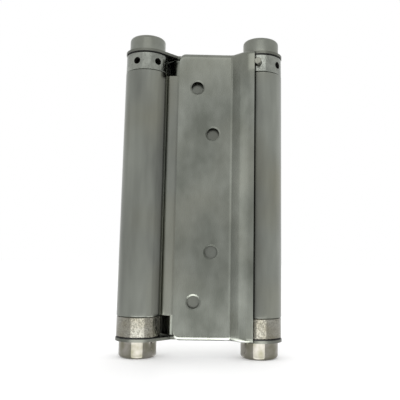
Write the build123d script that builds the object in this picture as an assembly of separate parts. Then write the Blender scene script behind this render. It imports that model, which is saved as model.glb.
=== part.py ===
from build123d import *
import math
import os

# Double action spring hinge, 6 inch.
# Two barrels stand side by side on one rolled web. Each leaf hangs on one barrel by its two lugs and
# folds over the web towards the other barrel, so the door swings about either axis.
# Millimetres. +Z runs along the barrels, +X from the left barrel to the right one, and the front is -Y.
# The hinge is the same after half a turn about Z. The origin is its middle.

# Leaves: height over the lugs, place of the faces and edges, and the sheet
leaf_height = 152.4
leaf_sheet = 1.4
leaf_face = 5.0
leaf_edge = 13.4
leaf_corner_radius = 3.5
flange_bend_radius = 2.0
flange_gap = 0.6

# Strip of the leaf that climbs over its own barrel
strip_edge_inset = 4.35
strip_gap = 0.8
strip_slope = 45.0
strip_end_slope = 6.0
strip_bend_radius = 2.5
strip_wrap_slack = 1.0

# Lugs at both ends of the strip, a little wider than the barrel
lug_overhang = 0.2
lug_taper = 45.0

# Screw holes: the outer pair and the inner pair, from the middle of the leaf
screw_hole_diameter = 6.6
countersink_diameter = 7.8
countersink_angle = 90.0
outer_hole_x = -3.3
outer_hole_z = 56.9
inner_hole_x = 5.5
inner_hole_z = 31.4

# Web and barrels, rolled from one sheet
axis_distance = 62.5
barrel_diameter = 22.8
web_sheet = 1.5
roll_seam = 0.35
roll_outer_fillet = 2.0
roll_inner_fillet = 0.9

# What turns on the spindles between the lugs. The steps say how far inside the barrel's surface each lies.
washer_thickness = 0.4
washer_step = 0.2
end_play = 0.1
collar_step = 0.1
upper_collar_height = 9.6
lower_flange_height = 10.2
collar_chamfer = 0.4
spigot_length = 7.0
spigot_clearance = 0.08
tommy_hole_diameter = 3.7
tommy_hole_depth = 6.2
tommy_hole_count = 6
left_collar_turn = -13.0

# Stop pin that holds the wound spring against the strip's free edge
pin_clearance = 0.05
pin_seat_gap = 0.03
pin_stand_out = 3.9
pin_end_chamfer = 0.35
pin_bottom_gap = 0.2

# Spindles and caps
spindle_diameter = 8.0
spindle_clearance = 0.08
spindle_chamfer = 0.8
cap_diameter = 19.4
cap_height = 8.5
cap_edge_radius = 1.9
cap_bore_depth = 5.6
cap_bore_end_gap = 0.3

# Torsion springs of square wire
wire_size = 3.0
spring_outer_gap = 0.9
spring_pitch = 3.85
spring_end_gap = 0.3
spring_steps_per_turn = 12
tang_length = 4.5
tang_clearance = 0.15

# Values that follow from the sizes above
half_height = leaf_height / 2
axis_x = axis_distance / 2
barrel_radius = barrel_diameter / 2
bore_radius = barrel_radius - web_sheet
lug_radius = barrel_radius + lug_overhang
strip_wrap_radius = barrel_radius + strip_wrap_slack
lug_inner_z = half_height - leaf_sheet
washer_inner_z = lug_inner_z - washer_thickness - end_play
barrel_top_z = washer_inner_z - upper_collar_height - end_play
barrel_bottom_z = -washer_inner_z + lower_flange_height
spigot_radius = bore_radius - spigot_clearance
spindle_radius = spindle_diameter / 2
running_bore_radius = spindle_radius + spindle_clearance
collar_radius = barrel_radius - collar_step
washer_radius = barrel_radius - washer_step
pin_radius = tommy_hole_diameter / 2 - pin_clearance
tommy_z = barrel_top_z + end_play + upper_collar_height / 2
spring_mean_radius = bore_radius - spring_outer_gap - wire_size / 2

# The strip's free edge, seen from above and measured from the barrel axis
strip_edge_radius = barrel_radius + strip_gap + leaf_sheet
strip_edge_y = -math.sqrt(strip_edge_radius**2 - strip_edge_inset**2)
strip_edge_bearing = math.degrees(math.asin(strip_edge_inset / strip_edge_radius))

# The stop pin leans on that edge: its angle from the front, towards the other barrel
pin_bearing = strip_edge_bearing - math.degrees(math.asin((pin_radius + pin_seat_gap) / strip_edge_radius))


def polar(radius, slope):
    # A step of the given length square to a line that falls by the slope.
    angle = math.radians(slope)
    return Vector(radius * math.sin(angle), radius * math.cos(angle))


def strip_line(depth, left_x):
    # The leaf's front face seen from above, moved back into the sheet by depth: the flat, a hollow
    # bend, the slope, and the wrap round the barrel. Returns its edges and its last point.
    edge = Vector(axis_x - strip_edge_inset, strip_edge_y)
    wrap_centre = edge + polar(strip_wrap_radius, strip_end_slope)
    slope_end = wrap_centre - polar(strip_wrap_radius, strip_slope)
    fall = math.radians(strip_slope)
    bend_end_y = -leaf_face - strip_bend_radius * (1 - math.cos(fall))
    slope_length = (bend_end_y - slope_end.Y) / math.sin(fall)
    bend_end_x = slope_end.X - slope_length * math.cos(fall)
    bend_centre = Vector(bend_end_x, bend_end_y) - polar(strip_bend_radius, strip_slope)
    outer = strip_bend_radius + depth
    inner = strip_wrap_radius - depth
    start = Vector(left_x, -leaf_face + depth)
    bend_start = bend_centre + polar(outer, 0)
    bend_middle = bend_centre + polar(outer, strip_slope / 2)
    bend_stop = bend_centre + polar(outer, strip_slope)
    wrap_start = wrap_centre - polar(inner, strip_slope)
    wrap_middle = wrap_centre - polar(inner, (strip_slope + strip_end_slope) / 2)
    wrap_stop = wrap_centre - polar(inner, strip_end_slope)
    edges = [
        Edge.make_line(start, bend_start),
        Edge.make_three_point_arc(bend_start, bend_middle, bend_stop),
        Edge.make_line(bend_stop, wrap_start),
        Edge.make_three_point_arc(wrap_start, wrap_middle, wrap_stop),
    ]
    return edges, wrap_stop


def closed_face(edges, points):
    # A face bounded by the given edges and by straight lines on through the points, back to the start.
    corners = [edges[-1] @ 1] + points + [edges[0] @ 0]
    sides = [Edge.make_line(a, b) for a, b in zip(corners, corners[1:])]
    return Face(Wire(edges + sides))


def rounded_along(block, edges, heights, radius):
    # Rounds the block where the given plan edges cross the given heights.
    marks = [(edge @ 0.5) + Vector(0, 0, height) for edge in edges for height in heights]
    chosen = [block.edges().sort_by_distance(mark)[0] for mark in marks]
    return fillet(chosen, radius)


def leaf():
    # The leaf of the right barrel: one sheet with its ends bent back, hollowed out of its own outline.
    front, edge = strip_line(0, -leaf_edge)
    square = polar(1, strip_end_slope)
    slant = polar(lug_radius, lug_taper)
    taper_start = Vector(axis_x - slant.X, slant.Y)
    flange_y = -flange_gap / 2
    taper_run = (taper_start.Y - flange_y) / math.tan(math.radians(lug_taper))
    outline = closed_face(front, [
        edge + square * (leaf_sheet + strip_gap + web_sheet),
        Vector(axis_x, 0),
        taper_start,
        Vector(taper_start.X - taper_run, flange_y),
        Vector(-leaf_edge, flange_y),
    ])
    lug = Pos(axis_x, 0) * Circle(lug_radius)
    block = extrude(Pos(0, 0, -half_height) * (Sketch() + outline + lug), leaf_height)
    block = rounded_along(block, front, (half_height, -half_height), flange_bend_radius)

    # The hollow lies behind the sheet and between the two bent ends
    reach = axis_distance
    back, back_end = strip_line(leaf_sheet, -reach)
    hollow = closed_face(back, [
        back_end - square * reach,
        Vector(reach, -reach),
        Vector(reach, reach),
        Vector(-reach, reach),
    ])
    hollow = extrude(Pos(0, 0, -lug_inner_z) * hollow, 2 * lug_inner_z)
    inner_radius = flange_bend_radius - leaf_sheet
    hollow = rounded_along(hollow, back, (lug_inner_z, -lug_inner_z), inner_radius)

    piece = block - hollow

    # The free side has rounded corners, cut through the sheet and through the bent end behind it
    waste = leaf_corner_waste()
    piece -= waste
    piece -= Rot(180, 0, 0) * waste
    piece -= Pos(axis_x, 0) * Cylinder(spindle_radius, leaf_height + 1)
    for x, z in screw_places():
        piece -= screw_hole(x, z)
    return piece


def leaf_corner_waste():
    # What a rounded corner leaves off the upper left corner of the leaf.
    depth = 4 * leaf_face
    waste = Pos(-leaf_edge, 0, half_height) * Box(2 * leaf_corner_radius, depth, 2 * leaf_corner_radius)
    centre = Pos(-leaf_edge + leaf_corner_radius, 0, half_height - leaf_corner_radius)
    return waste - centre * Rot(90, 0, 0) * Cylinder(leaf_corner_radius, depth)


def screw_places():
    # The four screw holes of the leaf, seen from the front.
    return [(x, side * z)
            for x, z in ((outer_hole_x, outer_hole_z), (inner_hole_x, inner_hole_z))
            for side in (1, -1)]


def screw_hole(x, z):
    # A clearance hole along Y, countersunk from the inner face where the screw's head goes in.
    inner_face_y = -leaf_face + leaf_sheet
    sink_width = (countersink_diameter - screw_hole_diameter) / 2
    sink_depth = sink_width / math.tan(math.radians(countersink_angle / 2))
    turned = Rot(90, 0, 0)
    hole = Pos(x, inner_face_y, z) * turned * Cylinder(screw_hole_diameter / 2, 3 * leaf_sheet)
    sink = Pos(x, inner_face_y - sink_depth / 2, z) * turned * Cone(
        countersink_diameter / 2, screw_hole_diameter / 2, sink_depth)
    return hole + sink


def web():
    # The web and both barrels: the sheet runs along the middle, turns tightly aside at each end and
    # rolls once round until its free edge comes back to the web.
    roll = Pos(-axis_x, 0) * (Circle(barrel_radius) - Circle(bore_radius))
    half_sheet = web_sheet / 2
    throat_x = -axis_x + math.sqrt(bore_radius**2 - half_sheet**2)
    flat = Pos(throat_x / 2, 0) * Rectangle(-throat_x, web_sheet)
    seam = Pos(-axis_x + barrel_radius - half_sheet, -half_sheet - roll_seam / 2) * Rectangle(
        2 * web_sheet, roll_seam)
    half = roll + flat - seam
    outer_x = -axis_x + math.sqrt(barrel_radius**2 - half_sheet**2)
    outside = half.vertices().sort_by_distance((outer_x, half_sheet))[0]
    half = fillet(outside, roll_outer_fillet)
    inside = half.vertices().sort_by_distance((throat_x, -half_sheet))[0]
    half = fillet(inside, roll_inner_fillet)
    profile = half + Rot(0, 0, 180) * half
    return extrude(Pos(0, 0, barrel_bottom_z) * profile, barrel_top_z - barrel_bottom_z)


def tang_slot(bottom_z, top_z):
    # The slot across the spigot that takes the upturned end of the spring.
    width = wire_size + 2 * tang_clearance
    length = bore_radius - spring_mean_radius + wire_size / 2 + tang_clearance
    middle = spring_mean_radius - wire_size / 2 - tang_clearance + length / 2
    return Pos(middle, 0, (bottom_z + top_z) / 2) * Box(length, width, top_z - bottom_z)


def upper_collar(turn):
    # Tension collar on its spindle, with a spigot down into the barrel and tommy bar holes round it.
    # The first hole lies at the stop pin's angle, and turn moves the other holes from their even places.
    low = barrel_top_z + end_play
    body = Pos(0, 0, low) * Cylinder(
        collar_radius, upper_collar_height, align=(Align.CENTER, Align.CENTER, Align.MIN))
    body = chamfer(body.edges().filter_by(GeomType.CIRCLE), collar_chamfer)
    spigot_bottom = barrel_top_z - spigot_length
    body += Pos(0, 0, spigot_bottom) * Cylinder(
        spigot_radius, low + collar_chamfer - spigot_bottom, align=(Align.CENTER, Align.CENTER, Align.MIN))
    body -= Cylinder(running_bore_radius, leaf_height)
    for index in range(tommy_hole_count):
        extra = turn if index else 0
        bearing = -pin_bearing + extra + index * 360 / tommy_hole_count
        drill = Pos(0, -collar_radius, tommy_z) * Rot(90, 0, 0) * Cylinder(
            tommy_hole_diameter / 2, 2 * tommy_hole_depth)
        body -= Rot(0, 0, bearing) * drill
    return body - tang_slot(spigot_bottom - 1, spigot_bottom + tang_length + tang_clearance)


def lower_plug():
    # Plug pressed into the foot of the barrel, with a flange as wide as the collar.
    low = -washer_inner_z
    body = Pos(0, 0, low) * Cylinder(
        collar_radius, lower_flange_height, align=(Align.CENTER, Align.CENTER, Align.MIN))
    body = chamfer(body.edges().filter_by(GeomType.CIRCLE), collar_chamfer)
    spigot_top = barrel_bottom_z + spigot_length
    body += Pos(0, 0, barrel_bottom_z - collar_chamfer) * Cylinder(
        spigot_radius, spigot_length + collar_chamfer, align=(Align.CENTER, Align.CENTER, Align.MIN))
    body -= Cylinder(running_bore_radius, leaf_height)
    return body - tang_slot(spigot_top - tang_length - tang_clearance, spigot_top + 1)


def stop_pin():
    # Loose pin in the first tommy bar hole. It stands out past the strip and leans on its free edge.
    hole_bottom = collar_radius - tommy_hole_depth
    inner_end = hole_bottom + pin_bottom_gap
    length = collar_radius + pin_stand_out - inner_end
    pin = Pos(0, -(inner_end + length / 2), tommy_z) * Rot(90, 0, 0) * Cylinder(pin_radius, length)
    pin = chamfer(pin.edges().filter_by(GeomType.CIRCLE), pin_end_chamfer)
    return Rot(0, 0, -pin_bearing) * pin


def wire_section(angle, height, radius):
    # The square section of the wire at an angle round the barrel axis.
    half = wire_size / 2
    direction = Vector(math.cos(angle), math.sin(angle))
    corners = ((-half, -half), (half, -half), (half, half), (-half, half))
    points = [direction * (radius + out) + Vector(0, 0, height + up) for out, up in corners]
    return Wire.make_polygon(points, close=True)


def spring():
    # Torsion spring of square wire: straight facets between even steps round the coil, and an upturned
    # tang at each end in the slots of the collar and the plug.
    bottom = barrel_bottom_z + spigot_length + spring_end_gap + wire_size / 2
    top = barrel_top_z - spigot_length - spring_end_gap - wire_size / 2
    turns = math.floor((top - bottom) / spring_pitch)
    steps = turns * spring_steps_per_turn
    sections = []
    for step in range(steps + 1):
        angle = 2 * math.pi * step / spring_steps_per_turn
        height = bottom + (top - bottom) * step / steps
        sections.append(wire_section(angle, height, spring_mean_radius))
    coil = Solid.make_loft(sections, ruled=True)
    reach = wire_size / 2 + spring_end_gap + tang_length
    lower_tang = Pos(spring_mean_radius, 0, bottom - reach / 2) * Box(wire_size, wire_size, reach)
    upper_tang = Pos(spring_mean_radius, 0, top + reach / 2) * Box(wire_size, wire_size, reach)
    return Part() + coil + lower_tang + upper_tang


def spindle():
    # Plain rod through both lugs, up to the bottom of the cap bores.
    half_length = half_height + cap_bore_depth - cap_bore_end_gap
    rod = Cylinder(spindle_radius, 2 * half_length)
    return chamfer(rod.edges().filter_by(GeomType.CIRCLE), spindle_chamfer)


def cap():
    # Cap on the upper lug, with a rounded top edge and a blind bore for the spindle.
    body = Pos(0, 0, half_height) * Cylinder(
        cap_diameter / 2, cap_height, align=(Align.CENTER, Align.CENTER, Align.MIN))
    body = fillet(body.edges().group_by(Axis.Z)[-1], cap_edge_radius)
    return body - Pos(0, 0, half_height) * Cylinder(
        spindle_radius, cap_bore_depth, align=(Align.CENTER, Align.CENTER, Align.MIN))


def washer():
    # Thin washer under the upper lug.
    ring = Pos(0, 0, lug_inner_z - washer_thickness) * Cylinder(
        washer_radius, washer_thickness, align=(Align.CENTER, Align.CENTER, Align.MIN))
    return ring - Cylinder(running_bore_radius, leaf_height)


def build():
    # Every piece by its name. The left barrel's set is the right one's after half a turn about Z.
    half_turn = Rot(0, 0, 180)
    upside_down = Rot(180, 0, 0)
    pieces = {"front_leaf": leaf()}
    pieces["rear_leaf"] = half_turn * pieces["front_leaf"]
    pieces["web"] = web()
    for side in ("right", "left"):
        place = Pos(axis_x, 0)
        if side == "left":
            place = half_turn * place
        turn = left_collar_turn if side == "left" else 0
        pieces[f"{side}_tension_collar"] = place * upper_collar(turn)
        pieces[f"{side}_stop_pin"] = place * stop_pin()
        pieces[f"{side}_spring_plug"] = place * lower_plug()
        pieces[f"{side}_spring"] = place * spring()
        pieces[f"{side}_spindle"] = place * spindle()
        pieces[f"{side}_top_cap"] = place * cap()
        pieces[f"{side}_bottom_cap"] = place * upside_down * cap()
        pieces[f"{side}_top_washer"] = place * washer()
        pieces[f"{side}_bottom_washer"] = place * upside_down * washer()
    return pieces


os.makedirs("parts", exist_ok=True)
for name, piece in build().items():
    export_step(piece, f"parts/{name}.step")
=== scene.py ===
import bmesh
import bpy
import numpy as np
from mathutils import Matrix, Vector


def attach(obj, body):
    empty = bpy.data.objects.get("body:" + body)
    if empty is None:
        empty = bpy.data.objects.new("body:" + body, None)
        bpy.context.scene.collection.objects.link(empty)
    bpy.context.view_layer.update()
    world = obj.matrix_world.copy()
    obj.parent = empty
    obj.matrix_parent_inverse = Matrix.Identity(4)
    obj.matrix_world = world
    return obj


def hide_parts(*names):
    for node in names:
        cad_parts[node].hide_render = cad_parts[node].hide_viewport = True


# Double action spring hinge in satin stainless steel. Sizes are in millimetres and angles in
# degrees. +Z runs along the barrels and the front is -Y. Everything is worked out for the right
# barrel, and the left barrel's set is the same after half a turn about Z.

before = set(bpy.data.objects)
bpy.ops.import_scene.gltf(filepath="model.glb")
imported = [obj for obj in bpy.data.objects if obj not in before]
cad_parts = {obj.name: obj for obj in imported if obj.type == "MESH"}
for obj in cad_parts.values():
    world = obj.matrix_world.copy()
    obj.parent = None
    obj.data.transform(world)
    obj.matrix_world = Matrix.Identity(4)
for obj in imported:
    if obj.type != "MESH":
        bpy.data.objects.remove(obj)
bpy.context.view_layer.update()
print("frame loaded")

hinge = {
    "axisX": 31.25,          # barrel axes at -axisX and +axisX
    "halfHeight": 76.2,      # middle to the outside of the lugs
    "barrelRadius": 11.4,
    "barrelTop": 64.6,
    "barrelBottom": -64.1,
}

cameraSetup = {
    "place": (3.08, -299.0, -33.04),
    "yaw": -1.43, "pitch": 8.40, "roll": 0.859,
    "focal": 560.84,             # in pixels of the frame below
    "centre": (221.63, 172.81),  # where the lens axis meets the frame, from its upper left corner
    "frame": 400.0,
    "sensor": 36.0,
}


def cameraAxes(yaw, pitch, roll):
    # right, up and forward start as +X, +Z and +Y; they turn by yaw about Z, then pitch about
    # right, then roll about forward: each turn is cos * one axis + sin * the other
    yaw, pitch, roll = np.radians([yaw, pitch, roll])
    right = np.array([np.cos(yaw), np.sin(yaw), 0.0])
    forward = np.array([-np.sin(yaw), np.cos(yaw), 0.0])
    up = np.array([0.0, 0.0, 1.0])
    up, forward = (np.cos(pitch) * up - np.sin(pitch) * forward,
                   np.sin(pitch) * up + np.cos(pitch) * forward)
    right, up = np.cos(roll) * right + np.sin(roll) * up, np.cos(roll) * up - np.sin(roll) * right
    return right, up, forward


def makeCamera(setup):
    data = bpy.data.cameras.new("camera")
    data.sensor_width = setup["sensor"]
    data.lens = setup["focal"] / setup["frame"] * setup["sensor"]
    data.shift_x = 0.5 - setup["centre"][0] / setup["frame"]
    data.shift_y = setup["centre"][1] / setup["frame"] - 0.5
    data.clip_start = 0.01
    camera = bpy.data.objects.new("camera", data)
    bpy.context.scene.collection.objects.link(camera)
    right, up, forward = cameraAxes(setup["yaw"], setup["pitch"], setup["roll"])
    matrix = np.eye(4)
    matrix[:3, :3] = np.column_stack([right, up, -forward])
    matrix[:3, 3] = np.array(setup["place"]) / 1000
    camera.matrix_world = Matrix(matrix.tolist())
    bpy.context.scene.camera = camera


makeCamera(cameraSetup)
bpy.context.scene.view_settings.view_transform = "Standard"
print("camera placed")


# Materials

def linear(hexColour):
    # each channel c: c / 12.92 up to 0.04045, else ((c + 0.055) / 1.055) ** 2.4
    c = np.array([int(hexColour[i:i + 2], 16) for i in (1, 3, 5)]) / 255
    c = np.where(c <= 0.04045, c / 12.92, ((c + 0.055) / 1.055) ** 2.4)
    return (*[float(v) for v in c], 1.0)


def addNode(tree, kind, settings=None, inputs=None):
    # adds a node, sets its own settings, and gives each input a value or a link. The setting stops
    # is a ramp's positions, from 0 to 1, with their colours; a new ramp already has two.
    node = tree.nodes.new(kind)
    for key, value in (settings or {}).items():
        if key == "stops":
            elements = node.color_ramp.elements
            for k, (position, colour) in enumerate(value):
                element = elements[k] if k < 2 else elements.new(position)
                element.position, element.color = position, colour
        else:
            setattr(node, key, value)
    for key, value in (inputs or {}).items():
        if isinstance(value, bpy.types.NodeSocket):
            tree.links.new(value, node.inputs[key])
        else:
            node.inputs[key].default_value = value
    return node


def newMaterial(name):
    material = bpy.data.materials.new(name)
    material.use_nodes = True
    material.node_tree.nodes.clear()
    return material, material.node_tree


def linearStops(tones):
    return [(position, linear(colour)) for position, colour in tones]


def steelMaterial(name, look):
    # satin steel: cloudy tone from pickling and handling, a fine rolled grain along Z, and a soft
    # gloss. across and along multiply the tone by a gain at places in mm, which paints light and
    # shade:
    # across is x on the front and -x on the back, and along is z.
    material, tree = newMaterial(name)
    place = addNode(tree, "ShaderNodeTexCoord").outputs["Object"]
    cloudPlace = addNode(tree, "ShaderNodeMapping", {}, {
        "Vector": place, "Scale": (1, 1, look["cloudStretch"])}).outputs["Vector"]
    clouds = addNode(tree, "ShaderNodeTexNoise", {}, {
        "Vector": cloudPlace, "Scale": 1000 / look["cloudSize"], "Detail": 3.0, "Roughness": 0.6})
    tone = addNode(tree, "ShaderNodeValToRGB", {"stops": linearStops(look["tones"])}, {
        "Fac": clouds.outputs["Fac"]})
    tints = addNode(tree, "ShaderNodeTexNoise", {}, {
        "Vector": place, "Scale": 1000 / look["tintSize"], "Detail": 1.0})
    tint = addNode(tree, "ShaderNodeMapRange", {}, {
        "Value": tints.outputs["Fac"], "From Min": look["tintRange"][0],
        "From Max": look["tintRange"][1], "To Max": look["tintShare"]})
    tinted = addNode(tree, "ShaderNodeMix", {"data_type": "RGBA"}, {
        "Factor": tint.outputs["Result"], 6: tone.outputs["Color"], 7: linear(look["tint"])})
    colour = tinted.outputs[2]

    xyz = addNode(tree, "ShaderNodeSeparateXYZ", {}, {0: place}).outputs
    turn = addNode(tree, "ShaderNodeMath", {"operation": "SIGN"}, {0: xyz["Y"]}).outputs[0]
    flipped = addNode(tree, "ShaderNodeMath", {"operation": "MULTIPLY"}, {0: xyz["X"], 1: turn})
    ways = ((flipped.outputs[0], -1, look["across"]), (xyz["Z"], 1, look["along"]))
    for value, sign, stops in ways:
        low, high = stops[0][0], stops[-1][0]
        share = addNode(tree, "ShaderNodeMapRange", {}, {
            "Value": value, "From Min": sign * low / 1000, "From Max": sign * high / 1000})
        greys = [((at - low) / (high - low), (gain, gain, gain, 1.0)) for at, gain in stops]
        gains = addNode(tree, "ShaderNodeValToRGB", {"stops": greys}, {
            "Fac": share.outputs["Result"]})
        varied = addNode(tree, "ShaderNodeMix", {"data_type": "RGBA", "blend_type": "MULTIPLY"}, {
            "Factor": 1.0, 6: colour, 7: gains.outputs["Color"]})
        colour = varied.outputs[2]

    grainPlace = addNode(tree, "ShaderNodeMapping", {}, {
        "Vector": place, "Scale": (1, 1, look["grainWidth"] / look["grainLength"])})
    grain = addNode(tree, "ShaderNodeTexNoise", {}, {
        "Vector": grainPlace.outputs["Vector"], "Scale": 1000 / look["grainWidth"], "Detail": 2.0})
    rough = addNode(tree, "ShaderNodeMapRange", {}, {
        "Value": grain.outputs["Fac"],
        "From Min": look["grainRange"][0], "From Max": look["grainRange"][1],
        "To Min": look["roughness"] - look["grainSpread"],
        "To Max": look["roughness"] + look["grainSpread"]})
    bump = addNode(tree, "ShaderNodeBump", {}, {
        "Height": grain.outputs["Fac"], "Strength": look["grainStrength"],
        "Distance": look["grainDepth"] / 1000})
    shader = addNode(tree, "ShaderNodeBsdfPrincipled", {}, {
        "Base Color": colour, "Metallic": 1.0, "Roughness": rough.outputs["Result"],
        "Normal": bump.outputs["Normal"]})
    addNode(tree, "ShaderNodeOutputMaterial", {}, {"Surface": shader.outputs["BSDF"]})
    return material


# Real satin grain is about 0.03 mm wide and wouldn't show, so it is drawn coarser.
sheetLook = {
    "tones": ((0.33, "#676a63"), (0.67, "#82857e")), "cloudSize": 16, "cloudStretch": 0.6,
    "tint": "#75756a", "tintSize": 30, "tintShare": 0.5, "tintRange": (0.45, 0.75),
    "grainWidth": 0.2, "grainLength": 14, "grainRange": (0.3, 0.7), "grainSpread": 0.02,
    "grainStrength": 0.05, "grainDepth": 0.02, "roughness": 0.27,
    "across": ((-43.0, 1.0), (43.0, 1.0)), "along": ((-77.0, 1.0), (77.0, 1.0)),   # no change
}
# Leaves: greenish grey clouds and a silky sheen. The tone is lighter towards both ends and darkest
# near z = -42, and the underside of the lower bend is painted nearly black as shade.
leafLook = {
    **sheetLook,
    "along": ((-77.0, 0.15), (-75.55, 0.15), (-75.25, 1.12), (-56.0, 1.1), (-42.0, 0.88),
              (-28.0, 0.92), (0.0, 1.02), (40.0, 0.98), (55.0, 0.96), (77.0, 1.1)),
}
# Cut edges: duller and darker than the rolled faces, with a short grain across the cut.
edgeLook = {
    **sheetLook, "tones": ((0.33, "#5c5e58"), (0.67, "#6e7069")), "tint": "#66665c",
    "grainLength": 0.4, "grainStrength": 0.3, "roughness": 0.42,
}
# Barrels and web: long soft streaks from rolling. The gains across them are painted light and
# shade: painted shade on the web between the leaves, in a band on the barrel's inner side and along
# the line where the leaf's strip ends on the barrel, and painted light on the bend beside that band
# and on parts of the barrels.
barrelLook = {
    **sheetLook, "tones": ((0.32, "#646661"), (0.68, "#80837c")), "tint": "#747365",
    "cloudSize": 17, "cloudStretch": 0.22, "roughness": 0.24,
    "across": ((-43.0, 1.07), (-41.0, 0.95), (-33.0, 0.97), (-27.0, 1.15), (-23.0, 1.1),
               (-21.6, 0.8), (-20.6, 0.75), (-20.1, 1.4), (-19.2, 1.4), (-18.6, 1.0),
               (-13.2, 1.0), (-11.8, 0.75), (11.8, 0.75), (13.2, 0.97), (25.5, 0.97),
               (26.5, 0.45), (27.4, 0.45), (28.1, 0.6), (29.2, 0.82), (31.0, 0.93),
               (34.0, 1.12), (41.0, 1.17), (43.0, 1.07)),
}
# Upper caps: even, milky grey with no direction in it.
capLook = {
    **sheetLook, "tones": ((0.3, "#73766f"), (0.7, "#848780")), "cloudSize": 9, "cloudStretch": 1,
    "grainLength": 0.6, "roughness": 0.34,
}

stainlessSheet = steelMaterial("rolled_stainless_sheet_satin", leafLook)
shearedEdge = steelMaterial("sheared_stainless_edge", edgeLook)
stainlessBarrel = steelMaterial("rolled_stainless_tube_satin", barrelLook)
satinCap = steelMaterial("turned_stainless_tumbled", capLook)

pitWall = (0.06, 0.02)   # the pattern's fall to a pit's floor, below and above pitShare


def platedMaterial(name, look):
    # plated or turned steel: soft patches of tone and a smooth gloss, broken by small shallow pits
    # whose floors are painted darker as shade. pitShare sets how much of the surface they take.
    material, tree = newMaterial(name)
    place = addNode(tree, "ShaderNodeTexCoord").outputs["Object"]
    patches = addNode(tree, "ShaderNodeTexNoise", {}, {
        "Vector": place, "Scale": 1000 / look["patchSize"], "Detail": 2.0})
    tone = addNode(tree, "ShaderNodeValToRGB", {"stops": linearStops(look["tones"])}, {
        "Fac": patches.outputs["Fac"]})
    pits = addNode(tree, "ShaderNodeTexNoise", {}, {
        "Vector": place, "Scale": 1000 / look["pitSize"], "Detail": 1.0, "Roughness": 0.6})
    height = addNode(tree, "ShaderNodeMapRange", {"interpolation_type": "SMOOTHSTEP"}, {
        "Value": pits.outputs["Fac"], "From Min": look["pitShare"] - pitWall[0],
        "From Max": look["pitShare"] + pitWall[1]})
    # painted shade on the pit floors, as much as pitShade
    paintedPitShade = addNode(tree, "ShaderNodeMapRange", {}, {
        "Value": height.outputs["Result"], "To Min": look["pitShade"], "To Max": 0.0})
    colour = addNode(tree, "ShaderNodeMix", {"data_type": "RGBA"}, {
        "Factor": paintedPitShade.outputs["Result"], 6: tone.outputs["Color"], 7: linear(look["pitTone"])})
    bump = addNode(tree, "ShaderNodeBump", {}, {
        "Height": height.outputs["Result"], "Strength": look["pitStrength"],
        "Distance": look["pitDepth"] / 1000})
    shader = addNode(tree, "ShaderNodeBsdfPrincipled", {}, {
        "Base Color": colour.outputs[2], "Metallic": 1.0, "Roughness": look["roughness"],
        "Normal": bump.outputs["Normal"]})
    addNode(tree, "ShaderNodeOutputMaterial", {}, {"Surface": shader.outputs["BSDF"]})
    return material


# Real pits are about 0.2 mm across and wouldn't show, so all of these are drawn coarser.
# Lower caps: warm mirror-like nickel with hardly a pit.
brightLook = {
    "tones": ((0.35, "#716f61"), (0.65, "#8a8780")), "patchSize": 5, "roughness": 0.09,
    "pitSize": 0.9, "pitShare": 0.3, "pitStrength": 0.2, "pitDepth": 0.02, "pitShade": 0.1,
    "pitTone": "#5c5a50",
}
# Spring plugs: bright nickel that sparkles, because the steel under it is rough from tumbling; its
# pits carry painted shade.
tumbledLook = {
    "tones": ((0.35, "#787569"), (0.65, "#86857d")), "patchSize": 7, "roughness": 0.1,
    "pitSize": 0.6, "pitShare": 0.46, "pitStrength": 1.0, "pitDepth": 0.14, "pitShade": 0.45,
    "pitTone": "#5c5a50",
}
# Tension collars: pale grey with wide soft dents.
collarLook = {
    "tones": ((0.35, "#7a7d77"), (0.65, "#8b8e87")), "patchSize": 5, "roughness": 0.2,
    "pitSize": 0.9, "pitShare": 0.42, "pitStrength": 1.0, "pitDepth": 0.05, "pitShade": 0.25,
    "pitTone": "#595a52",
}
# Stop pins and spindles: dull zinc.
pinLook = {
    "tones": ((0.35, "#6f7068"), (0.65, "#808177")), "patchSize": 3, "roughness": 0.3,
    "pitSize": 0.4, "pitShare": 0.4, "pitStrength": 0.5, "pitDepth": 0.02, "pitShade": 0.2,
    "pitTone": "#595a52",
}
# Springs: dark bluish wire.
springLook = {**collarLook, "tones": ((0.35, "#45464a"), (0.65, "#585a5e")), "roughness": 0.35}

brightNickel = platedMaterial("nickel_plated_polished", brightLook)
tumbledNickel = platedMaterial("nickel_plated_over_tumbled_steel", tumbledLook)
collarSteel = platedMaterial("turned_steel_tumbled", collarLook)
pinSteel = platedMaterial("zinc_plated_pin_steel", pinLook)
springSteel = platedMaterial("oil_tempered_spring_wire", springLook)


def dullMaterial(name, look):
    # not metal: small patches of tone, and a gloss that is rougher where they are darker
    material, tree = newMaterial(name)
    place = addNode(tree, "ShaderNodeTexCoord").outputs["Object"]
    patches = addNode(tree, "ShaderNodeTexNoise", {}, {
        "Vector": place, "Scale": 1000 / look["patchSize"], "Detail": 3.0}).outputs["Fac"]
    tone = addNode(tree, "ShaderNodeValToRGB", {"stops": linearStops(look["tones"])}, {
        "Fac": patches})
    dark, light = (at for at, colour in look["tones"])
    rough = addNode(tree, "ShaderNodeMapRange", {}, {
        "Value": patches, "From Min": dark, "From Max": light,
        "To Min": look["roughness"] + look["spread"], "To Max": look["roughness"] - look["spread"]})
    bump = addNode(tree, "ShaderNodeBump", {}, {
        "Height": patches, "Strength": 0.5, "Distance": look["depth"] / 1000})
    shader = addNode(tree, "ShaderNodeBsdfPrincipled", {}, {
        "Base Color": tone.outputs["Color"], "Roughness": rough.outputs["Result"],
        "Normal": bump.outputs["Normal"]})
    addNode(tree, "ShaderNodeOutputMaterial", {}, {"Surface": shader.outputs["BSDF"]})
    return material


# The tommy bar holes are painted near black as shade.
paintedBoreShadeLook = {"tones": ((0.35, "#14130f"), (0.65, "#1f1d19")), "patchSize": 1.2,
              "roughness": 0.5, "spread": 0.12, "depth": 0.04}
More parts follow.
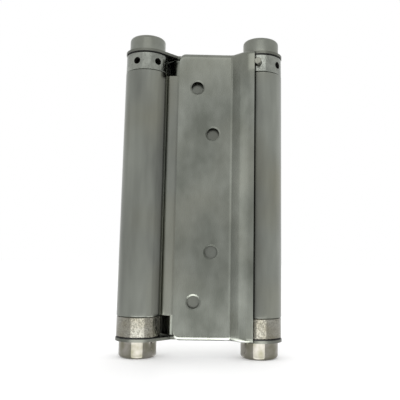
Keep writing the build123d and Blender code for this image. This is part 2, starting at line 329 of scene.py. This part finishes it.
# The washers are a dull black line above and below each barrel.
nylonLook = {"tones": ((0.35, "#0b0b0b"), (0.65, "#121211")), "patchSize": 2.0,
             "roughness": 0.55, "spread": 0.08, "depth": 0.01}

darkBore = dullMaterial("drilled_bore_painted_shade", paintedBoreShadeLook)
blackNylon = dullMaterial("moulded_black_nylon", nylonLook)
print("materials made")


# Mesh helpers

def gridQuads(rows, columns, wrap=False):
    # quads of a grid of points numbered row by row, with the corners (i, j), (i, j + 1),
    # (i + 1, j + 1) and (i + 1, j)
    last = columns if wrap else columns - 1
    i, j = np.meshgrid(np.arange(rows - 1), np.arange(last), indexing="ij")
    nextJ = (j + 1) % columns
    return np.stack([i * columns + j, i * columns + nextJ, (i + 1) * columns + nextJ,
                     (i + 1) * columns + j], -1).reshape(-1, 4)


def roundAngles(count):
    # count equal steps of a full turn
    return np.arange(count) * 2 * np.pi / count


def lathe(profile, angles):
    # points (r cos a, r sin a, z) for each profile point (r, z) and each angle a. The profile runs
    # up outer walls and inwards over tops, so that the faces point outwards.
    profile = np.array(profile, float)
    points = np.stack([profile[:, :1] * np.cos(angles), profile[:, :1] * np.sin(angles),
                       np.repeat(profile[:, 1:], len(angles), 1)], -1).reshape(-1, 3)
    return points, gridQuads(len(profile), len(angles), True)


def arcPoints(centre, radius, start, stop, count):
    # count points centre + radius (cos a, sin a), with a from start to stop
    a = np.radians(np.linspace(start, stop, count))
    return np.column_stack([centre[0] + radius * np.cos(a), centre[1] + radius * np.sin(a)])


def evenLines(marks, cell):
    # grid lines through all marks, in even steps of at most about one cell between two marks
    runs = [np.linspace(a, b, int(np.ceil((b - a) / cell)) + 1)[:-1]
            for a, b in zip(marks, marks[1:])]
    return np.concatenate(runs + [[marks[-1]]])


def piercedGrid(uLines, vLines, holes):
    # a grid over uLines and vLines with round holes: inside each hole's square the cells give way
    # to rings, point = (1 - t) * square + t * circle, and a lip is one more ring outside the hole's
    # own. Returns points, quads, and each hole's rim as point numbers.
    columns = len(uLines)
    points = [np.stack(np.meshgrid(uLines, vLines), -1).reshape(-1, 2)]
    j, i = np.meshgrid(np.arange(len(vLines) - 1), np.arange(columns - 1), indexing="ij")
    keep = np.ones(j.shape, bool)
    quads, rims, total = [], [], len(points[0])
    for hole in holes:
        (cu, cv), reach = hole["centre"], hole["reach"]
        i0, i1 = (int(np.argmin(abs(uLines - (cu + s * reach)))) for s in (-1, 1))
        j0, j1 = (int(np.argmin(abs(vLines - (cv + s * reach)))) for s in (-1, 1))
        keep[j0:j1, i0:i1] = False
        edge = np.concatenate([
            j0 * columns + np.arange(i0, i1), np.arange(j0, j1) * columns + i1,
            j1 * columns + np.arange(i1, i0, -1), np.arange(j1, j0, -1) * columns + i0])
        square = points[0][edge]
        bearing = np.arctan2(square[:, 1] - cv, square[:, 0] - cu)
        circle = np.column_stack([cu + hole["across"](np.cos(bearing)),
                                  cv + hole["radius"] * np.sin(bearing)])
        t = np.array(hole["rings"])[:, None, None]
        if hole["lip"]:
            wide = circle + hole["lip"] * np.column_stack([np.cos(bearing), np.sin(bearing)])
            rings = np.concatenate([(1 - t) * square + t * wide, circle[None]])
        else:
            rings = (1 - t) * square + t * circle
        points.append(rings.reshape(-1, 2))
        added = rings.shape[0] * len(edge)
        numbers = np.concatenate([edge[None], total + np.arange(added).reshape(-1, len(edge))])
        total += added
        a, b = numbers[:-1], numbers[1:]
        quads.append(np.stack([a, np.roll(a, -1, 1), np.roll(b, -1, 1), b], -1).reshape(-1, 4))
        rims.append(numbers[-1])
    corner = (j * columns + i)[keep]
    quads.append(np.column_stack([corner, corner + 1, corner + columns + 1, corner + columns]))
    return np.concatenate(points), np.concatenate(quads), rims


meshFinish = {"mergeReach": 0.002, "bevelSegments": 2, "bevelAngle": 35.0}


def makeObject(name, points, faces, material, bevel, sheet=None, bores=()):
    # points in millimetres become a smooth mesh in metres. sheet gives it a wall, and bevel rounds
    # its edges. The face groups that bores counts are the insides of drilled holes.
    mesh = bpy.data.meshes.new(name)
    corners = [face.tolist() for group in faces for face in group]
    mesh.from_pydata((np.asarray(points) / 1000).tolist(), [], corners)
    mesh.materials.append(material)
    if bores:
        # the insides of the drilled holes get the painted shade
        mesh.materials.append(darkBore)
        mesh.polygons.foreach_set("material_index", np.repeat(
            [int(k in bores) for k in range(len(faces))], [len(group) for group in faces]))
    if sheet:
        mesh.materials.append(shearedEdge)
    work = bmesh.new()
    work.from_mesh(mesh)
    bmesh.ops.remove_doubles(work, verts=work.verts, dist=meshFinish["mergeReach"] / 1000)
    work.to_mesh(mesh)
    work.free()
    mesh.polygons.foreach_set("use_smooth", np.ones(len(mesh.polygons), bool))
    piece = bpy.data.objects.new(name, mesh)
    bpy.context.scene.collection.objects.link(piece)
    if sheet:
        wall = piece.modifiers.new("sheet", "SOLIDIFY")
        wall.thickness, wall.offset = sheet[0] / 1000, sheet[1]
        wall.material_offset_rim = 1
    rounding = piece.modifiers.new("edges", "BEVEL")
    rounding.width, rounding.segments = bevel / 1000, meshFinish["bevelSegments"]
    rounding.limit_method, rounding.angle_limit = "ANGLE", np.radians(meshFinish["bevelAngle"])
    rounding.harden_normals = True
    return piece


def halfTurn(points):
    # (x, y, z) becomes (-x, -y, z)
    return np.asarray(points) * (-1, -1, 1)


def upsideDown(points):
    # (x, y, z) becomes (x, -y, -z)
    return np.asarray(points) * (1, -1, -1)


def finishPiece(piece, body, node):
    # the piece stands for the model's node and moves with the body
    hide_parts(node)
    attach(piece, body)


# The two leaves

leafShape = {
    "edge": 13.4, "face": 5.0, "sheet": 1.4, "cornerRadius": 3.5,
    "cornerRun": 8.0,                      # how much of the flat sheet follows a rounded corner
    "hollowStart": 14.07, "hollowRadius": 2.5, "slope": 45.0, "slopeLength": 5.077,
    "wrapRadius": 12.4, "endSlope": 6.0,
    "bendRadius": 2.5, "flangeY": -0.3,
    "flangeSpan": 10.0,                    # how much of v the bent end takes
    "lugRadius": 11.6, "taperAngle": 45.0, "lugEnd": -96.0,
    "sweepPower": 1.6,                     # crowds the bent end's lines towards the taper
    "fanShare": 0.1025, "fanSpan": 4.0,    # the outline's last part, and how much of u it takes
    "holes": ((-3.3, 56.9), (5.5, 31.4), (5.5, -31.4), (-3.3, -56.9)),
    "holeRadius": 3.3, "holeReach": 5.0,
    "lipWidth": 0.8, "lipDepth": 0.6,      # the punch leaves a drawn-in lip round each screw hole
    "edgeRounding": 0.35,
    # the mesh: cell size on the flat, steps of each curve, and where the rings and rows lie
    "cell": 1.3, "fineSteps": 20000, "lugSteps": 120, "wrapSteps": 72, "fanSteps": 8,
    "bendSteps": 8, "cornerStep": 10.0, "flangeRows": (0.15, 0.4, 0.7, 1.0),
    "rings": (0.4, 0.75, 1.0),
}


def frontLine(u, shape):
    # the front face in plan: its heading is 0 on the flat, rises to the slope over the hollow bend,
    # stays, and falls to the end slope over the wrap; place = sum of (cos, -sin) of the heading.
    # Returns place and the square direction into the sheet (sin, cos).
    slope, endSlope = np.radians([shape["slope"], shape["endSlope"]])
    flat = shape["edge"] + shape["hollowStart"]
    marks = np.cumsum([0, flat, shape["hollowRadius"] * slope, shape["slopeLength"],
                       shape["wrapRadius"] * (slope - endSlope)])
    fine = np.linspace(0, marks[-1], shape["fineSteps"] + 1)
    heading = np.interp(fine, marks, [0, 0, slope, slope, endSlope])
    step = fine[1] - fine[0]
    middle = (heading[1:] + heading[:-1]) / 2
    x = np.concatenate([[0], np.cumsum(np.cos(middle) * step)]) - shape["edge"]
    y = np.concatenate([[0], np.cumsum(-np.sin(middle) * step)]) - shape["face"]
    turn = np.interp(u, fine, heading)
    place = np.column_stack([np.interp(u, fine, x), np.interp(u, fine, y)])
    return place, np.column_stack([np.sin(turn), np.cos(turn)]), marks


def lugOutline(share, shape):
    # edge of the bent end: along Y = flangeY, up the taper, and round the lug, by its share of
    # length. The taper touches the lug's circle at start = axis + radius (-sin, cos) of its angle.
    taper, radius = np.radians(shape["taperAngle"]), shape["lugRadius"]
    start = np.array([hinge["axisX"], 0]) + radius * np.array([-np.sin(taper), np.cos(taper)])
    footX = start[0] - (start[1] - shape["flangeY"]) / np.tan(taper)
    lug = arcPoints((hinge["axisX"], 0), radius, 90 + shape["taperAngle"], shape["lugEnd"],
                    shape["lugSteps"] + 1)
    line = np.concatenate([[[shape["hollowStart"], shape["flangeY"]]],
                           [[footX, shape["flangeY"]]], lug])
    length = np.concatenate([[0], np.cumsum(np.hypot(*np.diff(line, axis=0).T))])
    return np.column_stack([np.interp(share * length[-1], length, line[:, k]) for k in (0, 1)])


def leafPoints(u, v, shape):
    # u runs along the front line and v up the leaf. |v| up to the bend: straight; then a quarter
    # arc of the bend radius; then the bent end as straight lines from the arc to the lug outline.
    # Past the strip's end, u only fans those lines about the strip's last point.
    place, back, marks = frontLine(u, shape)
    radius, top = shape["bendRadius"], hinge["halfHeight"] - shape["bendRadius"]
    arcLength = radius * np.pi / 2
    side, beyond = np.sign(v), np.clip(np.abs(v) - top, 0, None)
    angle = np.clip(beyond / arcLength, 0, 1) * np.pi / 2
    share = np.clip((beyond - arcLength) / shape["flangeSpan"], 0, 1)[:, None]
    inner = place + back * radius
    flat = marks[1]
    sweep = np.clip((u - flat) / (marks[-1] - flat), 0, 1) ** shape["sweepPower"]
    fan = np.clip((u - marks[-1]) / shape["fanSpan"], 0, 1)
    outline = lugOutline((1 - shape["fanShare"]) * sweep + shape["fanShare"] * fan, shape)
    straight = np.column_stack([place[:, 0], np.full(len(u), shape["flangeY"])])
    outer = np.where((u <= flat)[:, None], straight, outline)
    plan = place + back * (radius * (1 - np.cos(angle)))[:, None]
    plan = np.where(share > 0, (1 - share) * inner + share * outer, plan)
    z = side * (np.minimum(np.abs(v), top) + radius * np.sin(angle))
    # the free side's rounded corner: the bend and the bent end draw in by
    # R - sqrt(R^2 - (R - u)^2), and the sheet before them follows over cornerRun
    corner = shape["cornerRadius"]
    inside = np.clip(corner - u, 0, corner)
    drawIn = corner - np.sqrt(np.maximum(corner ** 2 - inside ** 2, 0))
    follow = np.clip((np.abs(v) - top) / shape["cornerRun"] + 1, 0, 1)
    return np.column_stack([plan, z - side * drawIn * follow])


def leafLines(shape):
    # lines of the leaf's grid, some of them on the edges of each hole's square. Those of the
    # rounded corner lie at R (1 - cos a), so that their points are even along its arc.
    flat = shape["edge"] + shape["hollowStart"]
    total = frontLine(np.zeros(1), shape)[2][-1]
    reach, corner = shape["holeReach"], shape["cornerRadius"]
    uMarks = sorted({corner, flat} | {round(x + shape["edge"] + s * reach, 4)
                                      for x, z in shape["holes"] for s in (-1, 1)})
    uLines = np.concatenate([
        corner * (1 - np.cos(np.radians(np.arange(0, 90, shape["cornerStep"])))),
        evenLines(uMarks, shape["cell"]),
        np.linspace(flat, total, shape["wrapSteps"] + 1)[1:],
        total + shape["fanSpan"] * np.linspace(0, 1, shape["fanSteps"] + 1)[1:]])
    top = hinge["halfHeight"] - shape["bendRadius"]
    vMarks = sorted({-top, top} | {round(z + s * reach, 4)
                                   for x, z in shape["holes"] for s in (-1, 1)})
    arc = shape["bendRadius"] * np.pi / 2
    bend = np.concatenate([np.linspace(0, arc, shape["bendSteps"] + 1)[1:],
                           arc + shape["flangeSpan"] * np.array(shape["flangeRows"])])
    vLines = np.concatenate([-top - bend[::-1], evenLines(vMarks, shape["cell"]), top + bend])
    return uLines, vLines


def makeLeaf(name, shape, turned):
    # a pierced grid laid on the leaf's front face, with the rim of each hole sunk by lipDepth. The
    # sheet's wall goes in behind it.
    radius = shape["holeRadius"]
    holes = [{"centre": (x + shape["edge"], z), "reach": shape["holeReach"], "radius": radius,
              "across": lambda cosine: radius * cosine, "rings": shape["rings"],
              "lip": shape["lipWidth"]} for x, z in shape["holes"]]
    plan, quads, rims = piercedGrid(*leafLines(shape), holes)
    points = leafPoints(plan[:, 0], plan[:, 1], shape)
    points[np.concatenate(rims), 1] += shape["lipDepth"]
    if turned:
        points = halfTurn(points)
    return makeObject(name, points, [quads], stainlessSheet, shape["edgeRounding"],
                      (shape["sheet"], -1))


frontLeaf = makeLeaf("front_leaf_sheet", leafShape, False)
rearLeaf = makeLeaf("rear_leaf_sheet", leafShape, True)
finishPiece(frontLeaf, "front_side", "front_leaf")
finishPiece(rearLeaf, "rear_side", "rear_leaf")
print("leaves made")

# The web, rolled into a barrel at each side

webShape = {
    "sheet": 1.5, "bend": 2.75, "endAngle": 357.6, "edgeRounding": 0.45,
    "flatSteps": 24, "tightSteps": 8, "rollSteps": 120, "heightSteps": 6,
}


def webLine(shape):
    # the middle of the sheet in plan, for the left half: straight, a tight bend up, then round the
    # barrel. The tight bend's centre is at a height of bend, and sqrt(m^2 + 2 m bend) from the axis
    # along X, with m the middle radius of the barrel, so that bend and barrel touch.
    middle = hinge["barrelRadius"] - shape["sheet"] / 2
    bend = shape["bend"]
    bendX = -hinge["axisX"] + np.sqrt(middle ** 2 + 2 * middle * bend)
    meet = np.degrees(np.arctan2(bend, bendX + hinge["axisX"]))
    flatX = np.linspace(0, bendX, shape["flatSteps"] + 1)[:-1]
    flat = np.column_stack([flatX, np.zeros(len(flatX))])
    tight = arcPoints((bendX, bend), bend, 270, 180 + meet, shape["tightSteps"] + 1)[:-1]
    roll = arcPoints((-hinge["axisX"], 0), middle, meet, shape["endAngle"],
                     shape["rollSteps"] + 1)
    half = np.concatenate([flat, tight, roll])
    return np.concatenate([-half[:0:-1], half])


def makeWeb(shape):
    # the line at each height: points (x, y, z)
    line = webLine(shape)
    zLines = np.linspace(hinge["barrelBottom"], hinge["barrelTop"], shape["heightSteps"] + 1)
    points = np.concatenate([np.tile(line, (len(zLines), 1)),
                             np.repeat(zLines, len(line))[:, None]], 1)
    return makeObject("rolled_web", points, [gridQuads(len(zLines), len(line))], stainlessBarrel,
                      shape["edgeRounding"], (shape["sheet"], 0))


finishPiece(makeWeb(webShape), "middle", "web")
print("web made")

# What turns between the lugs

collarShape = {
    "radius": 11.3, "low": 64.7, "high": 74.3, "chamfer": 0.4, "bore": 4.08,
    "spigotRadius": 9.82, "spigotBottom": 57.6,
    "holeCount": 6, "holeZ": 69.5, "holeRadius": 1.85, "holeReach": 3.2, "holeDepth": 6.2,
    "tipShare": 0.12,      # how far short of the hole's tip its cone has one more ring
    "pinBearing": 10.917,  # the first hole holds the stop pin
    "leftTurn": -13.0,     # how far the left collar's other holes are out of step
    "cell": 0.65, "rings": (0.4, 0.75, 0.92, 1.0),
}


def makeCollar(shape, turn):
    # outer wall: a pierced grid over arc length and height, bent round with
    # angle = arc / radius - 90 degrees. Each hole goes straight in to a shallow cone. The rest is a
    # lathe profile on the same angles.
    radius, c = shape["radius"], shape["chamfer"]
    low, high = shape["low"] + c, shape["high"] - c
    bearings = [-shape["pinBearing"] + (turn if k else 0) + k * 360 / shape["holeCount"]
                for k in range(shape["holeCount"])]
    centres = np.sort(np.radians(bearings) % (2 * np.pi) * radius)
    reach = shape["holeReach"]
    start = centres[0] - reach - 1
    ends = [start, start + 2 * np.pi * radius]
    uMarks = np.sort(np.concatenate([centres - reach, centres + reach, ends]))
    uLines = evenLines(uMarks, shape["cell"])
    vLines = evenLines([low, shape["holeZ"] - reach, shape["holeZ"] + reach, high], shape["cell"])
    holes = [{"centre": (middle, shape["holeZ"]), "reach": reach, "radius": shape["holeRadius"],
              "across": lambda cosine: radius * np.arcsin(shape["holeRadius"] * cosine / radius),
              "rings": shape["rings"], "lip": 0} for middle in centres]
    plan, quads, rims = piercedGrid(uLines, vLines, holes)
    angle = plan[:, 0] / radius - np.pi / 2
    wall = np.column_stack([radius * np.cos(angle), radius * np.sin(angle), plan[:, 1]])
    parts, faces, total = [wall], [quads], len(wall)
    for centre, rim in zip(centres, rims):
        bearing = centre / radius - np.pi / 2
        outward = np.array([np.cos(bearing), np.sin(bearing), 0])
        ring = wall[rim]
        floor = ring - (ring @ outward - radius + shape["holeDepth"])[:, None] * outward
        tipRadius = radius - shape["holeDepth"] - shape["holeRadius"] / 2
        tip = tipRadius * outward + [0, 0, shape["holeZ"]]
        cone = floor + (1 - shape["tipShare"]) * (tip - floor)
        outer = total + np.arange(len(rim))
        inner = outer + len(rim)
        for a, b in ((rim, outer), (outer, inner)):
            faces.append(np.column_stack([a, np.roll(a, -1), np.roll(b, -1), b]))
        last = np.full(len(rim), total + 2 * len(rim))
        faces.append(np.column_stack([inner, np.roll(inner, -1), last]))
        parts += [floor, cone, tip[None]]
        total += 2 * len(rim) + 1
    rest, restFaces = lathe([
        (radius, high), (radius - c, shape["high"]), (shape["bore"], shape["high"]),
        (shape["bore"], shape["spigotBottom"]), (shape["spigotRadius"], shape["spigotBottom"]),
        (shape["spigotRadius"], shape["low"]), (radius - c, shape["low"]), (radius, low),
    ], uLines[:-1] / radius - np.pi / 2)
    return np.concatenate(parts + [rest]), faces + [restFaces + total]


plugShape = {
    "radius": 11.3, "low": -74.3, "high": -64.1, "chamfer": 0.4, "bore": 4.08,
    "spigotRadius": 9.82, "spigotTop": -57.1, "sides": 128,
}


def makePlug(shape):
    # flange with a chamfer at both ends, then the spigot that goes up into the barrel
    radius, low, high, c = shape["radius"], shape["low"], shape["high"], shape["chamfer"]
    points, faces = lathe([
        (shape["bore"], low), (radius - c, low), (radius, low + c), (radius, high - c),
        (radius - c, high), (shape["spigotRadius"], high),
        (shape["spigotRadius"], shape["spigotTop"]), (shape["bore"], shape["spigotTop"]),
        (shape["bore"], low),
    ], roundAngles(shape["sides"]))
    return points, [faces]


pinShape = {
    "radius": 1.8, "inner": 5.3, "outer": 15.2, "chamfer": 0.35,
    "bearing": collarShape["pinBearing"], "z": collarShape["holeZ"], "sides": 48,
}


def makePin(shape):
    # a rod with chamfered ends, lathed along Z and then laid along the hole:
    # (x, y, z) becomes x up + y side + z out
    radius, inner, outer, c = shape["radius"], shape["inner"], shape["outer"], shape["chamfer"]
    points, faces = lathe([
        (0, inner), (radius - c, inner), (radius, inner + c), (radius, outer - c),
        (radius - c, outer), (0, outer),
    ], roundAngles(shape["sides"]))
    bearing = np.radians(shape["bearing"])
    out = np.array([-np.sin(bearing), -np.cos(bearing), 0])
    up = np.array([0, 0, 1])
    return points @ np.stack([up, np.cross(out, up), out]) + [0, 0, shape["z"]], [faces]


capShape = {
    "radius": 9.7, "low": 76.2, "high": 84.7, "edgeRadius": 1.9, "bore": 4.0, "boreTop": 81.8,
    "edgeSteps": 12, "sides": 128,
}


def makeCap(shape):
    # a turned cap: blind bore, plain wall, and a quarter arc round the top edge
    radius, edge = shape["radius"], shape["edgeRadius"]
    rounded = arcPoints((radius - edge, shape["high"] - edge), edge, 0, 90, shape["edgeSteps"] + 1)
    points, faces = lathe([
        (0, shape["boreTop"]), (shape["bore"], shape["boreTop"]), (shape["bore"], shape["low"]),
        (radius, shape["low"]), *rounded, (0, shape["high"]),
    ], roundAngles(shape["sides"]))
    return points, [faces]


washerShape = {"radius": 11.2, "low": 74.4, "high": 74.8, "bore": 4.08, "sides": 96}


def makeWasher(shape):
    # a flat ring: a rectangle from bore to radius, turned about Z
    points, faces = lathe([
        (shape["bore"], shape["low"]), (shape["radius"], shape["low"]),
        (shape["radius"], shape["high"]), (shape["bore"], shape["high"]),
        (shape["bore"], shape["low"]),
    ], roundAngles(shape["sides"]))
    return points, [faces]


# name, shape, whether it is turned upside down, material, slot, edge rounding, and the bodies on
# the right and left
turnedPieces = (
    ("tension_collar",
     lambda side: makeCollar(collarShape, collarShape["leftTurn"] if side == "left" else 0),
     False, collarSteel, "tumbled_steel", 0.1, ("right_collar", "left_collar")),
    ("spring_plug", lambda side: makePlug(plugShape),
     False, tumbledNickel, "tumbled_steel", 0.1, ("middle", "middle")),
    ("stop_pin", lambda side: makePin(pinShape),
     False, pinSteel, "pin_steel", 0.08, ("right_pin", "left_pin")),
    ("top_cap", lambda side: makeCap(capShape),
     False, satinCap, "satin_cap", 0.12, ("front_side", "rear_side")),
    ("bottom_cap", lambda side: makeCap(capShape),
     True, brightNickel, "bright_cap", 0.12, ("front_side", "rear_side")),
    ("top_washer", lambda side: makeWasher(washerShape),
     False, blackNylon, "black_nylon", 0.05, ("front_side", "rear_side")),
    ("bottom_washer", lambda side: makeWasher(washerShape),
     True, blackNylon, "black_nylon", 0.05, ("front_side", "rear_side")),
)

for kind, make, inverted, material, slotName, bevel, bodies in turnedPieces:
    for side, body in zip(("right", "left"), bodies):
        points, faces = make(side)
        if inverted:
            points = upsideDown(points)
        points = points + [hinge["axisX"], 0, 0]
        if side == "left":
            points = halfTurn(points)
        # a collar's first group is its wall, its last one the lathed rest, and between are holes
        bores = range(1, len(faces) - 1) if kind == "tension_collar" else ()
        node = side + "_" + kind
        piece = makeObject(node + "_turned", points, faces, material, bevel, None, bores)
        finishPiece(piece, body, node)
print("turned pieces made")

# Springs and spindles stay as they are in the model and get their finish
for node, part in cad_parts.items():
    for word, material in (("spring", springSteel), ("spindle", pinSteel)):
        if node in ("left_" + word, "right_" + word):
            part.data.materials.clear()
            part.data.materials.append(material)
print("springs and spindles finished")

# Floor, world and lamps

stageLook = {
    "floorZ": -84.75, "floorSize": 6000.0, "floor": "#f4f4f4", "floorLift": 0.2,
    "world": "#ffffff",
    # soft lamps: place, the point that they face, width and height, and radiance. One is high
    # behind the camera, one on the right and back, and a small one lights the leaf's strip.
    "lamps": (
        ("front_softbox", (-30, -500, 330), (-10, 0, 60), (440, 150), 0.8),
        ("side_softbox", (450, 160, 0), (0, 0, 0), (300, 400), 0.14),
        ("strip_fill", (-20, -42, 0), (20, -42, 0), (60, 140), 0.3),
    ),
    # bright cards, seen only in the gloss: corners, strength, and how far round from straight ahead
    # (as 1 - cosine) the grid on the card lets it show
    "cards": (
        # the bright upright bands on the plugs and lower caps
        ("left_card", ((-38.9, -18, -84.7), (-21.1, -18, -84.7), (-21.1, -18, -64.7),
                       (-38.9, -18, -64.7)), 3.7, 0.7),
        ("right_card", ((19.2, -18, -84.7), (38.1, -18, -84.7), (38.1, -18, -64.7),
                        (26.5, -18, -64.7), (26.5, -18, -75.8), (19.2, -18, -75.8)), 3.7, 0.7),
        ("left_foot_card", ((-33.4, -9.5, -84.7), (-27.7, -9.0, -84.7), (-21.1, -18, -84.7),
                            (-38.9, -18, -84.7)), 3.7, 2.0),
        ("right_foot_card", ((27.4, -8.9, -84.7), (33.2, -9.5, -84.7), (38.1, -18, -84.7),
                             (19.2, -18, -84.7)), 3.7, 2.0),
        # the white line along the leaf's lower bend and the lips of the lower screw holes
        ("leaf_card", ((-20, -12, -82.4), (-10, -14, -82.4), (24, -14, -82.4), (24, -10, -82.4),
                       (20, -3.7, -82.4), (-20, -3.7, -82.4)), 8.0, 0.8),
        # the pale lower end of the web beside the leaf, and the dark inside behind the leaf
        ("web_card", ((-22, -3.7, -84.65), (-13.6, -3.7, -84.65), (-13.6, 3.7, -84.65),
                      (-22, 3.7, -84.65)), 3.0, 0.8),
        ("dark_card", ((-13.5, -3.7, -84.65), (13.5, -3.7, -84.65), (13.5, 3.7, -84.65),
                       (-13.5, 3.7, -84.65)), 0.0, 0.8),
        # a soft lift towards the lower end
        ("far_card", ((-60, -280, -84.7), (60, -280, -84.7), (60, -60, -84.7),
                      (-60, -60, -84.7)), 1.6, 2.0),
        # takes the leaf's dark edge out of the barrel's gloss
        ("gap_card", ((-14.6, -12, -64), (-14.6, -0.9, -64), (-14.6, -0.9, 64),
                      (-14.6, -12, 64)), 0.85, 2.0),
        # the glint on the right collar and stop pin
        ("upper_card", ((19, -18, 67), (36, -18, 67), (36, -18, 80), (19, -18, 80)), 2.2, 0.7),
    ),
}


def makeSheet(name, corners, material):
    # one flat face on the stage, from its corners in mm
    mesh = bpy.data.meshes.new(name)
    mesh.from_pydata((np.array(corners) / 1000).tolist(), [], [tuple(range(len(corners)))])
    mesh.materials.append(material)
    sheet = bpy.data.objects.new(name, mesh)
    bpy.context.scene.collection.objects.link(sheet)
    return sheet


def makeFloor(look):
    # matt white paper; where the camera or a reflection sees it, a little light is added so that it
    # stays white, and the shadow on it remains
    material, tree = newMaterial("matt_white_paper")
    paint = addNode(tree, "ShaderNodeBsdfDiffuse", {}, {"Color": linear(look["floor"])})
    path = addNode(tree, "ShaderNodeLightPath").outputs
    seen = path["Is Camera Ray"]
    for ray in ("Is Glossy Ray", "Is Transmission Ray"):
        either = addNode(tree, "ShaderNodeMath", {"operation": "MAXIMUM"}, {0: seen, 1: path[ray]})
        seen = either.outputs[0]
    lift = addNode(tree, "ShaderNodeMath", {"operation": "MULTIPLY"}, {
        0: seen, 1: look["floorLift"]})
    glow = addNode(tree, "ShaderNodeEmission", {}, {"Strength": lift.outputs[0]})
    both = addNode(tree, "ShaderNodeAddShader", {}, {0: paint.outputs[0], 1: glow.outputs[0]})
    addNode(tree, "ShaderNodeOutputMaterial", {}, {"Surface": both.outputs[0]})
    half, z = look["floorSize"] / 2, look["floorZ"]
    corners = ((-half, -half, z), (half, -half, z), (half, half, z), (-half, half, z))
    makeSheet("floor", corners, material)


def makeCards(look, back):
    # share seen = 1 - (1 - cosine) / reach: all of it straight ahead, and nothing along the card
    for name, corners, strength, reach in look["cards"]:
        material, tree = newMaterial(name + "_light")
        facing = addNode(tree, "ShaderNodeLayerWeight").outputs["Facing"]
        share = addNode(tree, "ShaderNodeMapRange", {}, {
            "Value": facing, "From Max": reach, "To Min": 1.0, "To Max": 0.0})
        clear = addNode(tree, "ShaderNodeBsdfTransparent")
        glow = addNode(tree, "ShaderNodeEmission", {}, {"Strength": strength})
        card = addNode(tree, "ShaderNodeMixShader", {}, {
            0: share.outputs["Result"], 1: clear.outputs[0], 2: glow.outputs[0]})
        addNode(tree, "ShaderNodeOutputMaterial", {}, {"Surface": card.outputs[0]})
        if back:
            name, corners = name + "_back", halfTurn(corners)
        sheet = makeSheet(name, corners, material)
        sheet.visible_camera = sheet.visible_diffuse = sheet.visible_shadow = False


def makeLamps(look, back):
    # power = radiance * pi * area
    for name, place, target, size, radiance in look["lamps"]:
        if back:
            name, place, target = name + "_back", halfTurn(place), halfTurn(target)
        data = bpy.data.lights.new(name, "AREA")
        data.shape, data.size, data.size_y = "RECTANGLE", size[0] / 1000, size[1] / 1000
        data.energy = radiance * np.pi * data.size * data.size_y
        lamp = bpy.data.objects.new(name, data)
        bpy.context.scene.collection.objects.link(lamp)
        lamp.location = np.array(place) / 1000
        aim = Vector(np.subtract(target, place))
        lamp.rotation_euler = aim.to_track_quat("-Z", "Y").to_euler()
        lamp.visible_camera = False


def makeWorld(look):
    # even white light from all round, so that a colour renders about as it is written
    world = bpy.data.worlds.new("studio")
    world.use_nodes = True
    tree = world.node_tree
    tree.nodes.clear()
    light = addNode(tree, "ShaderNodeBackground", {}, {
        "Color": linear(look["world"]), "Strength": 1.0})
    addNode(tree, "ShaderNodeOutputWorld", {}, {"Surface": light.outputs["Background"]})
    bpy.context.scene.world = world


makeFloor(stageLook)
for back in (False, True):
    makeCards(stageLook, back)
    makeLamps(stageLook, back)
makeWorld(stageLook)
print("stage made")
